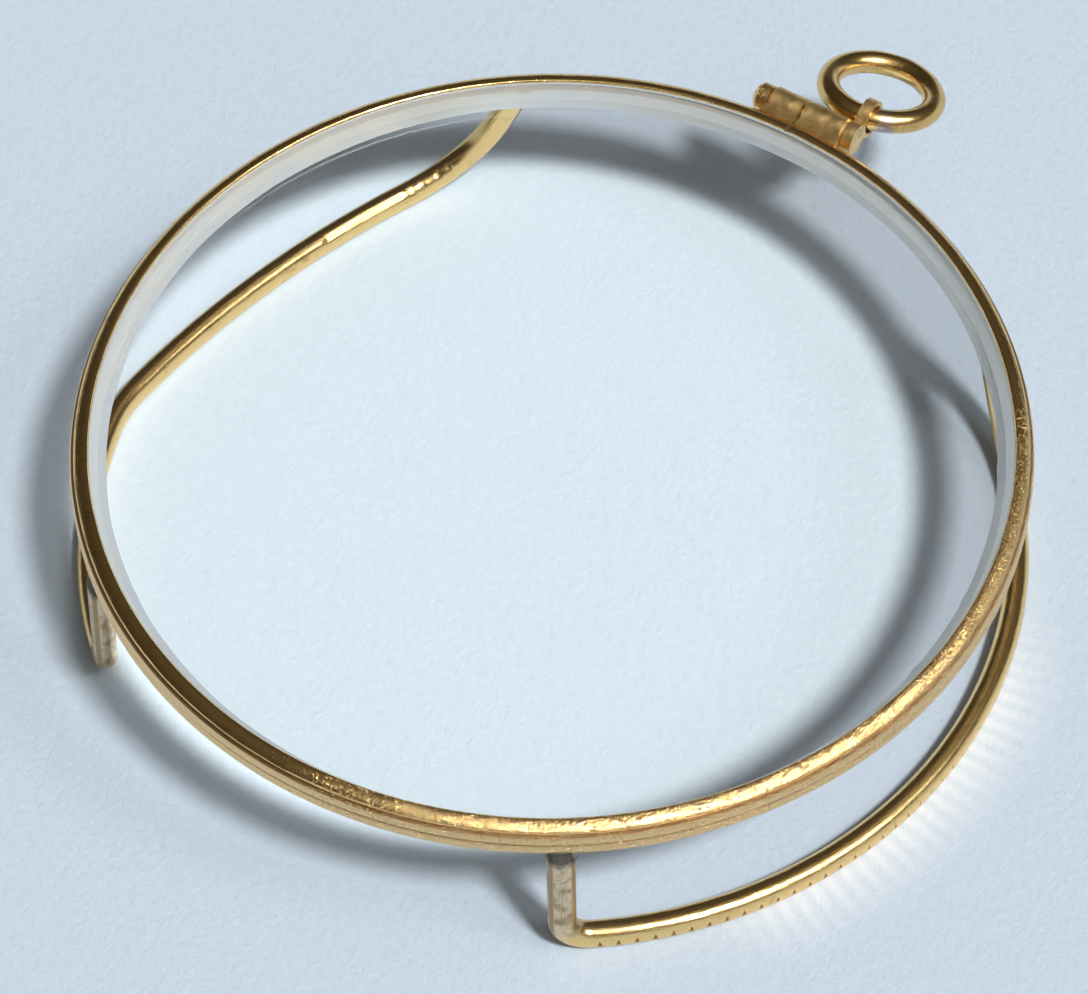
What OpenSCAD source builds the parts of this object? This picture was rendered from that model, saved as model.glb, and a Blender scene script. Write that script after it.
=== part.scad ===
// Gallery monocle: a glass lens in a split, reeded rim with two wire galleries,
// a screwed closing joint and a loose ring for a cord.
// +Z runs along the lens axis, and the galleries rest on z = 0.

/* [Rim] */
// Outside diameter of the rim
rim_d = 40; // [32:0.5:46]
// Height of the rim along the lens axis
rim_h = 1.45; // [1.4:0.05:1.8]
// Radial thickness of the rim at its reeds
rim_t = 0.82; // [0.75:0.01:1]
// Radial width of the smooth band on top
band_w = 0.62; // [0.5:0.01:0.68]
// Radius that domes the top band
band_dome_r = 0.9; // [0.6:0.05:1.6]
// Width of the slit that lets the rim open for the lens
slit_w = 0.14; // [0.1:0.02:0.24]
// Height of the lower outer reed
low_reed_h = 0.5; // [0.4:0.02:0.54]
// Height of the upper outer reed
high_reed_h = 0.5; // [0.4:0.02:0.54]
// Radius that rounds each reed
reed_r = 0.45; // [0.4:0.05:0.8]
// Width of the fine groove between the two reeds
fine_groove_w = 0.05; // [0.03:0.01:0.08]
// Depth of the fine groove
fine_groove_d = 0.13; // [0.1:0.01:0.16]
// Width of the deep groove under the top band
deep_groove_w = 0.1; // [0.06:0.01:0.14]
// Depth of the deep groove
deep_groove_d = 0.28; // [0.22:0.01:0.3]

/* [Lens] */
// Radius of both curved faces of the glass
lens_face_r = 300; // [150:10:600]
// Thickness of the glass along its axis
lens_t = 1.9; // [1.7:0.05:2.1]
// Depth of the glass below the rim's top face
lens_sink = 0.1; // [0.05:0.05:0.2]
// Height of the edge bevel that sits in the rim's groove
bevel_h = 0.8; // [0.6:0.05:0.9]
// Radial depth of the edge bevel
bevel_d = 0.32; // [0.2:0.02:0.36]
// Width of the steep ground facet on the eye side
steep_facet_w = 0.34; // [0.2:0.02:0.6]
// Height of the steep ground facet
steep_facet_h = 0.5; // [0.3:0.05:0.6]
// Width of the shallow ground facet inside it
shallow_facet_w = 0.38; // [0.2:0.02:0.6]
// Gap between the glass and the rim
lens_gap = 0.02; // [0.01:0.01:0.05]

/* [Closing joint] */
// Outside diameter of both joint tubes
tube_d = 1.44; // [1.3:0.02:1.7]
// Length of the tube on the screw head's side
head_tube_len = 1.6; // [1.2:0.1:2.4]
// Length of the threaded tube
thread_tube_len = 2.1; // [2:0.1:3.2]
// Chamfer on the tubes' outer ends
tube_chamfer = 0.14; // [0.05:0.01:0.2]
// Gap between the rim and the tubes that the solder fills
tube_gap = 0.12; // [0.06:0.01:0.2]
// Height of the joint's axis above the middle of the rim
joint_rise = 0.12; // [0:0.02:0.3]
// Height of the solder seam along the tubes
joint_solder_h = 0.9; // [0.6:0.05:1.2]
// Diameter of the screw's shank
screw_d = 0.8; // [0.6:0.05:0.9]
// Diameter of the screw's head
head_d = 1.3; // [1.1:0.05:1.5]
// Height of the screw head's straight side
head_side_h = 0.5; // [0.3:0.05:0.8]
// Height of the screw head's dome
head_dome_h = 0.34; // [0.2:0.02:0.5]
// Width of the screwdriver slot
slot_w = 0.22; // [0.16:0.02:0.3]
// Depth of the screwdriver slot
slot_d = 0.36; // [0.2:0.02:0.5]
// Clearance round the shank in the tube it turns in
shank_gap = 0.04; // [0.02:0.01:0.08]
// Gap between neighbouring faces along the joint
face_gap = 0.03; // [0.02:0.01:0.06]

/* [Cord ring] */
// Outside diameter of the ring
ring_d = 5.85; // [5:0.1:8]
// Diameter of the ring's wire
ring_wire_d = 1.05; // [0.8:0.05:1.2]
// Angle that the ring hangs below the rim's plane
ring_droop = 17; // [0:1:30]
// Distance the ring leans over the threaded tube
ring_lean = 0.55; // [0.4:0.05:0.7]
// Thickness of the eye plate
eye_t = 0.5; // [0.4:0.05:0.6]
// Clearance round the ring's wire in the eye
eye_gap = 0.04; // [0.02:0.01:0.08]
// Width of metal round the eye's hole
eye_wall = 0.2; // [0.15:0.01:0.3]
// Height of the eye plate between the screw and the eye
eye_waist_h = 1; // [0.8:0.05:1.2]
// Clearance between the ring and the threaded tube
ring_gap = 0.06; // [0.05:0.01:0.12]

/* [Galleries] */
// Distance from the resting plane to the rim's underside
gallery_depth = 6.8; // [4.5:0.1:9]
// Radial width of the gallery wire
wire_w = 1; // [0.8:0.05:1.2]
// Height of the gallery wire
wire_h = 1.15; // [0.9:0.05:1.4]
// Diameter that the wire's corners are rounded to
wire_round_d = 1.24; // [1.2:0.02:1.5]
// Distance that both ends flare outwards on the way down to the bar
flare = 0.3; // [0:0.05:1.2]
// Direction of the brow gallery's upright leg
brow_leg_a = 139; // [130:1:150]
// Angle that the brow gallery's sloping end turns inwards as it climbs
brow_rise_roll = 19; // [16:1:22]
// Slope of the brow gallery's sloping end
brow_rise_slope = 76; // [74:1:78]
// Direction of the cheek gallery's upright leg
cheek_leg_a = 143; // [130:1:152]
// Direction where the cheek gallery turns up to the rim
cheek_rise_a = 53; // [40:1:60]
// Slope of the cheek gallery's sloping end
cheek_rise_slope = 68; // [60:1:76]
// Bend radius at the foot of the upright legs
leg_bend_r = 1.2; // [0.8:0.1:1.8]
// Bend radius at the foot of the sloping ends
rise_bend_r = 4.6; // [4:0.1:5.2]
// Distance that the brow bar is pressed in at its middle
flat_press = 1.3; // [1.1:0.05:1.5]
// Radius of the pressed stretch
flat_r = 46; // [42:1:50]
// Bend radius where the pressed stretch starts on the leg's side
leg_side_bend_r = 6; // [3:0.5:10]
// Direction of the pressed stretch's middle
flat_a = 76.5; // [75:0.5:78]
// Depth worn off the underside where the bars rest
rest_wear = 0.03; // [0.02:0.01:0.06]

/* [Milled edge] */
// Distance between notches along the bars
notch_pitch = 0.74; // [0.6:0.02:1.2]
// Width of each notch
notch_w = 0.22; // [0.16:0.02:0.3]
// Depth of each notch
notch_d = 0.1; // [0.06:0.01:0.14]
// Height of the notches above the resting plane
notch_h = 0.5; // [0.3:0.05:0.7]

/* [Gallery solder] */
// Height of the solder at the legs
solder_h = 0.85; // [0.4:0.05:1.2]
// Length of the solder along the rim beyond the leg
solder_len = 0.7; // [0.4:0.05:1.4]
// Thickness of the solder where it thins out
solder_edge = 0.12; // [0.08:0.01:0.2]
// Radial width of the solder
solder_w = 0.7; // [0.5:0.02:0.8]

/* [Hidden] */
$fn = 96;
rim_fn = 240;
face_fn = 2400;
gold = [0.80, 0.58, 0.22];
old_gold = [0.66, 0.47, 0.20];
solder_grey = [0.36, 0.36, 0.38];
glass = [0.80, 0.90, 0.94, 0.35];
eps = 0.01;
far = 2 * rim_d;

rim_r = rim_d / 2;
lip_r = rim_r - rim_t;
seat_r = rim_r - rim_t / 2;
high_reed_z = low_reed_h + fine_groove_w;
deep_groove_z = high_reed_z + high_reed_h;
band_z = deep_groove_z + deep_groove_w;
lens_r = lip_r - lens_gap;
lens_top = rim_h - lens_sink;
lens_sag = lens_face_r - sqrt(pow(lens_face_r, 2) - pow(lens_r, 2));

tube_r = tube_d / 2;
screw_r = screw_d / 2;
joint_x = rim_r + tube_gap + tube_r;
joint_z = gallery_depth + rim_h / 2 + joint_rise;
head_y = slit_w / 2 + head_tube_len + face_gap;
thread_end_y = -slit_w / 2 - thread_tube_len;
eye_y = thread_end_y - face_gap - eye_t / 2;
shank_len = head_y - eye_y + eye_t / 2;

wire_r = ring_wire_d / 2;
ring_r = (ring_d - ring_wire_d) / 2;
ring_reach = sqrt(pow(ring_r, 2) - pow(ring_lean, 2));
eye_x = joint_x + tube_r + ring_gap + wire_r + ring_r - ring_reach;
wire_step = ring_lean + eye_t / 2;
wire_run = sqrt(pow(ring_r, 2) - pow(wire_step, 2));
eye_hole_r = ring_reach - wire_run + wire_r * ring_r / wire_run + eye_gap;
eye_r = eye_hole_r + eye_wall;

bar_z = wire_h / 2 - rest_wear;
thinner = 0.02;
lap = 0.08;
climb = gallery_depth - bar_z;
lean = atan(flare / climb);
bar_r = seat_r + flare;
flat_mid = bar_r - flat_press;
flat_back = flat_r - flat_mid;

function polar(r, a) = r * [cos(a), sin(a)];

// Centre of a bend of radius bend_r between the pressed stretch and a circle of radius r
function bend_x(bend_r, r) =
    (pow(flat_r - bend_r, 2) - pow(r - bend_r, 2) - pow(flat_back, 2)) / (2 * flat_back);
function bend_y(bend_r, r) = sqrt(pow(r - bend_r, 2) - pow(bend_x(bend_r, r), 2));
function outer_a(bend_r, r) = atan2(bend_y(bend_r, r), bend_x(bend_r, r));
function inner_a(bend_r, r) = asin(bend_y(bend_r, r) / (flat_r - bend_r));

// Distance that a sloping end runs forwards while it climbs to the rim, turned inwards by roll
function rise_run(slope, roll) = rise_bend_r * sin(slope)
    + (climb / cos(roll) - rise_bend_r * (1 - cos(slope))) / tan(slope);

// Roll that brings the cheek gallery's sloping end back from the bar's circle to the rim
cheek_rise_run = rise_run(cheek_rise_slope, 0);
cheek_rise_roll = atan((bar_r - sqrt(pow(seat_r, 2) - pow(cheek_rise_run, 2))) / climb);

// Angle that the pressed stretch runs on, past its middle, before it turns up to the rim
brow_rise_run = rise_run(brow_rise_slope, brow_rise_roll);
rise_in = climb * tan(brow_rise_roll);
land_r = norm([flat_r - rise_in, brow_rise_run]);
flat_end_a = acos((pow(land_r, 2) + pow(flat_back, 2) - pow(seat_r, 2)) / (2 * land_r * flat_back))
    - atan(brow_rise_run / (flat_r - rise_in));

// Rim: a drawn wire, reeded outside and grooved inside for the lens
module reed(z, h) {
    intersection() {
        translate([rim_r - reed_r, z + h / 2]) circle(r = reed_r);
        translate([lip_r, z]) square([rim_t, h]);
    }
}

module lens_groove() {
    translate([lip_r, rim_h / 2])
        polygon([[-1, -bevel_h / 2], [0, -bevel_h / 2 - lens_gap], [bevel_d, 0], [0, bevel_h / 2 + lens_gap],
                 [-1, bevel_h / 2]]);
}

module rim_section() {
    difference() {
        union() {
            translate([lip_r, 0]) square([rim_t - fine_groove_d, deep_groove_z]);
            translate([lip_r, 0]) square([rim_t - deep_groove_d, band_z + eps]);
            reed(0, low_reed_h);
            reed(high_reed_z, high_reed_h);
            intersection() {
                translate([lip_r, band_z]) square([band_w, rim_h - band_z]);
                translate([lip_r + band_w / 2, rim_h - band_dome_r]) circle(r = band_dome_r);
            }
        }
        lens_groove();
    }
}

module rim_ring() {
    translate([0, 0, gallery_depth]) rotate_extrude($fn = rim_fn) rim_section();
}

module rim() {
    color(gold) difference() {
        rim_ring();
        translate([0, -slit_w / 2, gallery_depth - 1]) cube([far, slit_w, rim_h + 2]);
    }
}

// Lens: clear glass with a bevelled edge and two ground facets on the eye side
module lens_section() {
    bottom = lens_top - lens_t;
    bevel_low = rim_h / 2 - bevel_h / 2;
    facet_r = lens_r - steep_facet_w;
    difference() {
        intersection() {
            translate([0, lens_top + lens_sag - lens_face_r]) circle(r = lens_face_r, $fn = face_fn);
            polygon([[0, bottom - 1], [0, lens_top + lens_sag + 1], [lens_r, lens_top + lens_sag + 1],
                     [lens_r, rim_h / 2 + bevel_h / 2], [lens_r + bevel_d, rim_h / 2], [lens_r, bevel_low],
                     [facet_r, bevel_low - steep_facet_h], [facet_r - shallow_facet_w, bottom],
                     [lens_r / 2, bottom - 1]]);
        }
        translate([0, bottom + lens_sag - lens_face_r]) circle(r = lens_face_r, $fn = face_fn);
    }
}

module lens() {
    color(glass) translate([0, 0, gallery_depth]) rotate_extrude($fn = rim_fn) lens_section();
}

// Closing joint: two tubes soldered to the rim's ends and drawn together by a screw
module along_joint(y) {
    translate([joint_x, y, joint_z]) rotate([90, 0, 0]) children();
}

module tube(len, bore_r) {
    difference() {
        union() {
            cylinder(r = tube_r, h = len - tube_chamfer);
            translate([0, 0, len - tube_chamfer])
                cylinder(r1 = tube_r, r2 = tube_r - tube_chamfer, h = tube_chamfer);
        }
        translate([0, 0, -1]) cylinder(r = bore_r, h = len + 2);
    }
}

module head_tube() {
    color(old_gold) along_joint(slit_w / 2) rotate([180, 0, 0]) tube(head_tube_len, screw_r + shank_gap);
}

module thread_tube() {
    color(old_gold) along_joint(-slit_w / 2) tube(thread_tube_len, screw_r + eps);
}

module tube_solder(start_y, len) {
    difference() {
        translate([lip_r, start_y, joint_z - joint_solder_h / 2])
            cube([joint_x - lip_r, len, joint_solder_h]);
        rim_ring();
        translate([0, 0, gallery_depth - 1]) cylinder(r = seat_r, h = rim_h + 2, $fn = rim_fn);
        along_joint(far / 2) cylinder(r = tube_r, h = far);
    }
}

module head_solder() {
    color(old_gold) tube_solder(slit_w / 2, head_tube_len);
}

module thread_solder() {
    color(old_gold) tube_solder(thread_end_y, thread_tube_len);
}

module closing_screw() {
    dome_r = (pow(head_d / 2, 2) + pow(head_dome_h, 2)) / (2 * head_dome_h);
    color(gold) along_joint(head_y) difference() {
        union() {
            cylinder(r = screw_r, h = shank_len);
            translate([0, 0, -head_side_h]) cylinder(d = head_d, h = head_side_h);
            intersection() {
                translate([0, 0, dome_r - head_side_h - head_dome_h]) sphere(r = dome_r);
                translate([0, 0, -head_side_h - head_dome_h]) cylinder(d = head_d, h = head_dome_h + eps);
            }
        }
        translate([-slot_w / 2, -head_d, -head_side_h - head_dome_h - 1]) cube([slot_w, 2 * head_d, slot_d + 1]);
    }
}

module ring_eye() {
    color(gold) translate([0, eye_y + eye_t / 2, joint_z]) rotate([90, 0, 0]) difference() {
        union() {
            translate([joint_x, 0]) cylinder(r = tube_r, h = eye_t);
            translate([eye_x, 0]) cylinder(r = eye_r, h = eye_t);
            translate([joint_x, -eye_waist_h / 2, 0]) cube([eye_x - joint_x, eye_waist_h, eye_t]);
        }
        translate([joint_x, 0, -1]) cylinder(r = screw_r + eps, h = eye_t + 2);
        translate([eye_x, 0, -1]) cylinder(r = eye_hole_r, h = eye_t + 2);
    }
}

// Cord ring: a closed wire ring that swings in the eye
module cord_ring() {
    color(gold) translate([eye_x, eye_y, joint_z]) rotate([0, ring_droop, 0])
        translate([ring_reach, ring_lean, 0]) rotate_extrude() translate([ring_r, 0]) circle(r = wire_r);
}

// Galleries: bent wire bars that the brow and the cheek hold, with a milled lower edge
module wire_section(thinned = 0) {
    intersection() {
        circle(d = wire_round_d - thinned);
        square([wire_w - thinned, wire_h - thinned], center = true);
    }
}

// A bar is [centre, radius, start angle, end angle]
module bar_arc(bar, thinned = 0, lapped = 0) {
    lap_a = lapped / bar[1] * 180 / PI;
    translate([bar[0][0], bar[0][1], bar_z]) rotate(bar[2] - lap_a)
        rotate_extrude(angle = bar[3] - bar[2] + 2 * lap_a, $fn = rim_fn)
            translate([bar[1], 0]) rotate(lean) wire_section(thinned);
}

module notches(bar) {
    span = bar[3] - bar[2];
    step = notch_pitch / bar[1] * 180 / PI;
    count = floor(span / step);
    for (i = [0 : count])
        translate([bar[0][0], bar[0][1], -1]) rotate(bar[2] + (span - count * step) / 2 + i * step)
            translate([bar[1] + wire_w / 2 + notch_w / 2 - notch_d, 0, 0])
                cylinder(d = notch_w, h = notch_h + 1, $fn = 24);
}

// The wire turned up from the bar: a bend, then a straight stretch up to the rim. The bend leans
// inwards by roll, and the wire keeps its own tilt.
module turned_up(bend_r, bend_a, roll) {
    lap_a = lap / bend_r * 180 / PI;
    rotate([0, -roll, 0]) {
        translate([0, 0, bend_r]) rotate([0, 90, 0]) rotate(-lap_a)
            rotate_extrude(angle = bend_a + lap_a)
                translate([bend_r, 0]) rotate(90 + lean - roll) wire_section(thinner);
        translate([0, bend_r * sin(bend_a), bend_r * (1 - cos(bend_a))]) rotate([bend_a - 90, 0, 0])
            translate([0, 0, -lap]) linear_extrude(2 * climb) rotate(roll - lean) wire_section(2 * thinner);
    }
}

module gallery_leg(leg_a) {
    rotate(leg_a) translate([bar_r, 0, bar_z]) turned_up(leg_bend_r, 90, lean);
}

module gallery_rise(centre, r, a, slope, roll) {
    translate([centre[0], centre[1], bar_z]) rotate(a) translate([r, 0]) mirror([0, 1, 0])
        turned_up(rise_bend_r, slope, roll);
}

module gallery(bars, bends = []) {
    intersection() {
        difference() {
            union() {
                for (bar = bars) bar_arc(bar);
                for (bend = bends) bar_arc(bend, thinner, lap);
                children();
            }
            for (bar = bars) notches(bar);
        }
        translate([-far, -far, 0]) cube([2 * far, 2 * far, gallery_depth]);
    }
}

module brow_gallery() {
    leg_side_a = outer_a(leg_side_bend_r, bar_r);
    leg_side_in_a = inner_a(leg_side_bend_r, bar_r);
    leg_side = polar(bar_r - leg_side_bend_r, flat_a + leg_side_a);
    flat_centre = polar(-flat_back, flat_a);
    color(gold) gallery([
        [[0, 0], bar_r, flat_a + leg_side_a, brow_leg_a],
        [flat_centre, flat_r, flat_a - flat_end_a, flat_a + leg_side_in_a]], [
        [leg_side, leg_side_bend_r, flat_a + leg_side_in_a, flat_a + leg_side_a]]) {
            gallery_leg(brow_leg_a);
            gallery_rise(flat_centre, flat_r, flat_a - flat_end_a, brow_rise_slope, brow_rise_roll);
        }
}

module cheek_gallery() {
    color(gold) mirror([0, 1, 0]) gallery([[[0, 0], bar_r, cheek_rise_a, cheek_leg_a]]) {
        gallery_leg(cheek_leg_a);
        gallery_rise([0, 0], bar_r, cheek_rise_a, cheek_rise_slope, cheek_rise_roll);
    }
}

// Solder that holds the galleries' ends under the rim
module solder_band() {
    translate([0, 0, gallery_depth - solder_h]) difference() {
        cylinder(r = seat_r + solder_w / 2, h = solder_h, $fn = rim_fn);
        translate([0, 0, -1]) cylinder(r = seat_r - solder_w / 2, h = solder_h + 2, $fn = rim_fn);
    }
}

// A wedge in the corner between the rim's underside and an upright leg
module gallery_solder(leg_a) {
    leg_side = leg_bend_r - wire_h / 2;
    difference() {
        intersection() {
            solder_band();
            rotate(leg_a) translate([0, 0, gallery_depth]) rotate([90, 0, 90]) linear_extrude(far)
                polygon([[leg_bend_r, 0], [leg_bend_r, -solder_h], [leg_side, -solder_h],
                         [leg_side - solder_len, -solder_edge], [leg_side - solder_len, 0]]);
        }
        gallery_leg(leg_a);
    }
}

module brow_solder() {
    color(solder_grey) gallery_solder(brow_leg_a);
}

module cheek_solder() {
    color(solder_grey) mirror([0, 1, 0]) gallery_solder(cheek_leg_a);
}

rim();
lens();
head_tube();
thread_tube();
head_solder();
thread_solder();
closing_screw();
ring_eye();
cord_ring();
brow_gallery();
cheek_gallery();
brow_solder();
cheek_solder();
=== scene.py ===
import math

import bpy
from mathutils import Matrix, Vector


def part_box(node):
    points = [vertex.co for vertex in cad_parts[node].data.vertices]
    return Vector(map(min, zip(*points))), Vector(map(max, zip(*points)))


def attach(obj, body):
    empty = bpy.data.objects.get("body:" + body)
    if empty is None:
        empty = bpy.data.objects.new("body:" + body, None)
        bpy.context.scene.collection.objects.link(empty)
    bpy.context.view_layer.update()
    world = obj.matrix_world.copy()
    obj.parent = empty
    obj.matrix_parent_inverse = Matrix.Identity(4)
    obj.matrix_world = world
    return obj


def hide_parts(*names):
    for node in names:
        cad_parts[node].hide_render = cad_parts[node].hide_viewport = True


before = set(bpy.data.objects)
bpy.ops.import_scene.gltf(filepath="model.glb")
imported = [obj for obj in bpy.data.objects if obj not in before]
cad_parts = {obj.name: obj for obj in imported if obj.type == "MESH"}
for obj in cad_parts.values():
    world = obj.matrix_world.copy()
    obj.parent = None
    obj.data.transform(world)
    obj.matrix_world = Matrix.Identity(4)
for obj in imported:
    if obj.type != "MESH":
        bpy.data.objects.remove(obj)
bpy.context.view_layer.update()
scene = bpy.context.scene
scene.view_settings.view_transform = "Standard"
MM = 0.001

# Camera: it stands close over the eye side's low edge, as for a photograph taken by hand, and looks at
# the middle of the rim's top face. The picture's frame sits a little below that point.
PICTURE_W = 1088
CAMERA_DISTANCE = 165.7 * MM
CAMERA_DIRECTION = math.radians(-147)
CAMERA_ELEVATION = math.radians(52.3)
CAMERA_ROLL = math.radians(0.7)
FOCAL_PX = 4000
AIM_RIGHT_PX = 7.4
AIM_UP_PX = 74.2
SENSOR_MM = 36


def direction(azimuth, elevation):
    """Unit vector that points to a place at this azimuth and elevation, in radians."""
    level = math.cos(elevation)
    return Vector((level * math.cos(azimuth), level * math.sin(azimuth), math.sin(elevation)))


def camera_turn(back, roll):
    """Rotation of a camera that looks against back, rolled clockwise."""
    side = Vector((0, 0, 1)).cross(back).normalized()
    up = back.cross(side)
    right = math.cos(roll) * side - math.sin(roll) * up
    over = math.sin(roll) * side + math.cos(roll) * up
    return Matrix((right, over, back)).transposed().to_quaternion()


rim_top = Vector((0, 0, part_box("rim")[1].z))
camera_back = direction(CAMERA_DIRECTION, CAMERA_ELEVATION)
camera = bpy.data.objects.new("camera", bpy.data.cameras.new("camera"))
scene.collection.objects.link(camera)
camera.data.sensor_width = SENSOR_MM
camera.data.lens = FOCAL_PX / PICTURE_W * SENSOR_MM
camera.data.shift_x = -AIM_RIGHT_PX / PICTURE_W
camera.data.shift_y = -AIM_UP_PX / PICTURE_W
camera.data.clip_start = 0.01
camera.location = rim_top + CAMERA_DISTANCE * camera_back
camera.rotation_mode = "QUATERNION"
camera.rotation_quaternion = camera_turn(camera_back, CAMERA_ROLL)
scene.camera = camera

# Light: a round soft lamp in front and to the right, a glow round it that fades to dim warm walls, a small
# pale window lower down to the right, and a pale sweep that stands behind the floor's edge all round.
LAMP_DIRECTION = math.radians(-106)
LAMP_ELEVATION = math.radians(59)
LAMP_WIDTH = math.radians(9)
LAMP_STRENGTH = 3.3
SWEEP = (0.62, 0.69, 0.75, 1)
SWEEP_TOP = math.sin(math.radians(6))
WALL_FOOT = math.sin(math.radians(10))
WALL_DARK = (0.05, 0.044, 0.036, 1)
WALL_DIM = (0.10, 0.09, 0.075, 1)
GLOW = (0.5, 0.5, 0.49, 1)
GLOW_CORE = (1.2, 1.2, 1.2, 1)
GLOW_STOPS = [(math.cos(math.radians(80)), WALL_DARK), (math.cos(math.radians(46)), WALL_DIM),
              (math.cos(math.radians(28)), GLOW), (math.cos(math.radians(15)), GLOW_CORE)]
WINDOW_DIRECTION = math.radians(-78)
WINDOW_ELEVATION = math.radians(47)
WINDOW_GLOW = (7.0, 7.2, 7.4, 1)
WINDOW_OUTER = math.cos(math.radians(10))
WINDOW_INNER = math.cos(math.radians(7))


def add_node(tree, kind, **inputs):
    """A node of this kind whose inputs get these values or links; a name's _ stands for a space."""
    node = tree.nodes.new(kind)
    for name, value in inputs.items():
        socket = node.inputs[name.replace("_", " ")]
        if isinstance(value, bpy.types.NodeSocket):
            tree.links.new(value, socket)
        else:
            socket.default_value = value
    return node


def ramp(tree, factor, stops):
    """Colour that passes smoothly through these (place, colour) stops."""
    node = add_node(tree, "ShaderNodeValToRGB", Fac=factor)
    band = node.color_ramp
    band.interpolation = "EASE"
    while len(band.elements) < len(stops):
        band.elements.new(0.5)
    for element, (place, colour) in zip(band.elements, stops):
        element.position = place
        element.color = colour
    return node.outputs["Color"]


world = bpy.data.worlds.new("studio")
world.use_nodes = True
scene.world = world
tree = world.node_tree
sky = tree.nodes.new("ShaderNodeTexCoord").outputs["Generated"]
to_lamp = direction(LAMP_DIRECTION, LAMP_ELEVATION)


def nearness(towards):
    """Cosine of the angle between a direction of the sky and this one."""
    node = tree.nodes.new("ShaderNodeVectorMath")
    node.operation = "DOT_PRODUCT"
    node.inputs[1].default_value = towards
    tree.links.new(sky, node.inputs[0])
    return node.outputs["Value"]


walls = ramp(tree, nearness(to_lamp), GLOW_STOPS)
to_window = direction(WINDOW_DIRECTION, WINDOW_ELEVATION)
window = add_node(tree, "ShaderNodeMapRange", Value=nearness(to_window), From_Min=WINDOW_OUTER,
                  From_Max=WINDOW_INNER).outputs["Result"]
lit_walls = tree.nodes.new("ShaderNodeMix")
lit_walls.data_type = "RGBA"
tree.links.new(window, lit_walls.inputs["Factor"])
tree.links.new(walls, lit_walls.inputs["A"])
lit_walls.inputs["B"].default_value = WINDOW_GLOW
height = add_node(tree, "ShaderNodeSeparateXYZ", Vector=sky).outputs["Z"]
above = ramp(tree, height, [(SWEEP_TOP, (0, 0, 0, 1)), (WALL_FOOT, (1, 1, 1, 1))])
studio = add_node(tree, "ShaderNodeMix", Factor=above)
studio.data_type = "RGBA"
studio.inputs["A"].default_value = SWEEP
tree.links.new(lit_walls.outputs["Result"], studio.inputs["B"])
tree.links.new(studio.outputs["Result"], tree.nodes["Background"].inputs["Color"])

lamp = bpy.data.objects.new("lamp", bpy.data.lights.new("lamp", "SUN"))
scene.collection.objects.link(lamp)
lamp.data.energy = LAMP_STRENGTH
lamp.data.angle = LAMP_WIDTH
lamp.rotation_mode = "QUATERNION"
lamp.rotation_quaternion = to_lamp.to_track_quat("Z", "Y")

# Floor: a sheet of smooth pale blue paper with a faint fibre grain, flat under the two gallery bars. The
# lamp's light that glances off the notched cheek bar is painted beside it on the paper as pale streaks.
PAPER = (0.445, 0.520, 0.60, 1)
PAPER_PALE = (0.475, 0.55, 0.63, 1)
PAPER_HALF = 40.0
FIBRE_H = 0.07
GLARE = (0.72, 0.74, 0.76, 1)
GLARE_PART = 0.6
GLARE_NEAR = (20.0, 20.3)
GLARE_FAR = (23.4, 20.3)
GLARE_PITCH = 0.74
GLARE_START = (math.radians(-131), math.radians(-118))
GLARE_END = (math.radians(-66), math.radians(-84))


def put(tree, socket, value):
    """Feed a socket with a link or a plain value."""
    if isinstance(value, bpy.types.NodeSocket):
        tree.links.new(value, socket)
    else:
        socket.default_value = value


def calculate(tree, operation, *values):
    """Result of a Math node on these values or links."""
    node = tree.nodes.new("ShaderNodeMath")
    node.operation = operation
    for socket, value in zip(node.inputs, values):
        put(tree, socket, value)
    return node.outputs["Value"]


def fade(tree, value, start, end):
    """0 before start and 1 past end, smooth between."""
    node = add_node(tree, "ShaderNodeMapRange", Value=value, From_Min=start, From_Max=end)
    node.interpolation_type = "SMOOTHSTEP"
    return node.outputs["Result"]


def blend(tree, kind, factor, first, second):
    """Mix of two colours (kind RGBA) or values (kind FLOAT)."""
    node = tree.nodes.new("ShaderNodeMix")
    node.data_type = kind
    for name, value in (("Factor", factor), ("A", first), ("B", second)):
        put(tree, node.inputs[name], value)
    return node.outputs["Result"]


def new_material(name, roughness, metallic=0.0):
    """A material and its Principled shader."""
    material = bpy.data.materials.new(name)
    material.use_nodes = True
    shader = material.node_tree.nodes["Principled BSDF"]
    shader.inputs["Roughness"].default_value = roughness
    shader.inputs["Metallic"].default_value = metallic
    return material, material.node_tree, shader


def position_mm(tree):
    """Place on the piece, in millimetres of the row frame."""
    place = tree.nodes.new("ShaderNodeTexCoord")
    scale = tree.nodes.new("ShaderNodeVectorMath")
    scale.operation = "SCALE"
    scale.inputs["Scale"].default_value = 1 / MM
    tree.links.new(place.outputs["Object"], scale.inputs["Vector"])
    return scale.outputs["Vector"]


def noise(tree, vector, scale, detail=2.0, roughness=0.5):
    """Smooth random value round 0.5 with this many bumps per unit."""
    node = add_node(tree, "ShaderNodeTexNoise", Vector=vector, Scale=scale, Detail=detail,
                    Roughness=roughness)
    return node.outputs["Fac"]


def raise_bumps(tree, shader, height, depth_mm):
    """Bump the shader's surface by height, 1 standing this far above 0."""
    node = add_node(tree, "ShaderNodeBump", Height=height, Distance=depth_mm * MM)
    tree.links.new(node.outputs["Normal"], shader.inputs["Normal"])


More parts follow.
